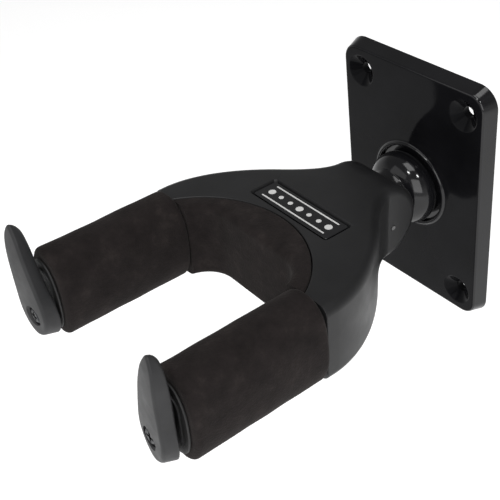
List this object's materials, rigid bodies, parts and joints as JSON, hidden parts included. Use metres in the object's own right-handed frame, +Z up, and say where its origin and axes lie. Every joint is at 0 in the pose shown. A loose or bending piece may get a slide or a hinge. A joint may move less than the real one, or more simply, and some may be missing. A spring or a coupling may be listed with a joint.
{
  "type": "wall guitar hanger",
  "caption": "Wall guitar hanger: screwed wall plate, ball joint and a forked yoke with foam-covered arms and raised leaf-shaped end caps.",
  "frame": {"origin": "centre of the wall plate's back face", "axes": "+Z up, +Y into the wall, arms reach out along -Y, +X to the right as seen from the room"},
  "size_m": [0.0864, 0.1343, 0.09],
  "materials": {
    "gloss_black_coat": "glossy black plated die casting",
    "satin_black_moulding": "satin black glass-filled nylon moulding with a fine grain",
    "dark_steel": "blackened steel",
    "bright_steel": "bright turned steel",
    "pale_nylon": "natural nylon",
    "badge_black": "glossy black inlay",
    "black_foam": "matte closed-cell foam",
    "black_plastic": "satin moulded",
    "cap_grey_plastic": "fine-textured moulded, dark grey"
  },
  "bodies": {
    "plate": {"wall_plate": "gloss_black_coat", "ball_housing": "gloss_black_coat", "housing_circlip": "dark_steel", "ball_seat": "pale_nylon", "cone_spring": "bright_steel", "back_plug": "dark_steel"},
    "rocker": {"pressure_cup": "pale_nylon"},
    "yoke": {"ball_stud": "bright_steel", "cross_pin": "bright_steel", "yoke_frame": "satin_black_moulding", "badge_plate": "badge_black", "crotch_pad": "black_foam", "foam_sleeve_left": "black_foam", "foam_sleeve_right": "black_foam", "stop_washer_left": "black_plastic", "stop_washer_right": "black_plastic", "end_cap_left": "cap_grey_plastic", "end_cap_right": "cap_grey_plastic", "cap_screw_left": "dark_steel", "cap_screw_right": "dark_steel"}
  },
  "joints": [
    {"name": "yoke_tilt", "type": "hinge", "parent": "plate", "child": "rocker", "pos_m": [0, -0.0107, 0], "axis": [-1, 0, 0], "range_deg": [-3.6, 4.3]},
    {"name": "yoke_swivel", "type": "hinge", "parent": "rocker", "child": "yoke", "pos_m": [0, -0.0107, 0], "axis": [0, -0.9979, 0.0642], "continuous": true}
  ]
}
